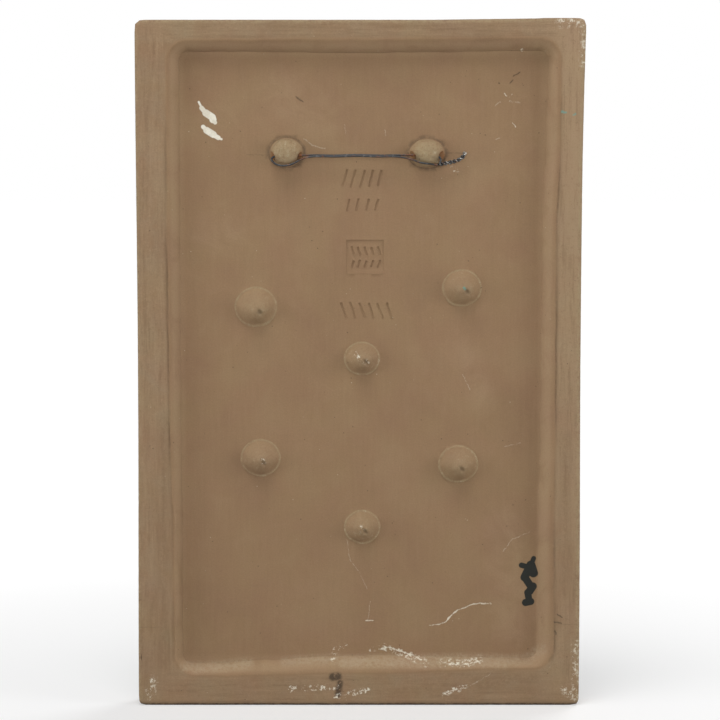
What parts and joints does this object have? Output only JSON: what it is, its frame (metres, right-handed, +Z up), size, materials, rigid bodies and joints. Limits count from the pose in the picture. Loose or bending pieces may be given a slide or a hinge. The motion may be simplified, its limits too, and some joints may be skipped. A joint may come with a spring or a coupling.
{
  "type": "decorative wall plaque",
  "caption": "Upright rectangular stoneware wall plaque with a raised rim, a recessed back with clay bosses, and a steel wire through pierced lugs to hang it by.",
  "frame": {"origin": "middle of the hanging wire, where a wall hook holds the plaque", "axes": "+Z up as it hangs, -Y out of the back towards the wall, +Y out of the decorated front into the room, +X to the right seen from behind"},
  "size_m": [0.2541, 0.02, 0.391],
  "materials": {
    "stoneware": "unglazed brown stoneware, smoothed by hand, matt; a matt glaze on the front panel",
    "steel_wire": "dark oxidised steel wire with a little rust"
  },
  "bodies": {
    "root": {"plaque": "stoneware", "hanging_wire": "steel_wire"}
  },
  "joints": []
}
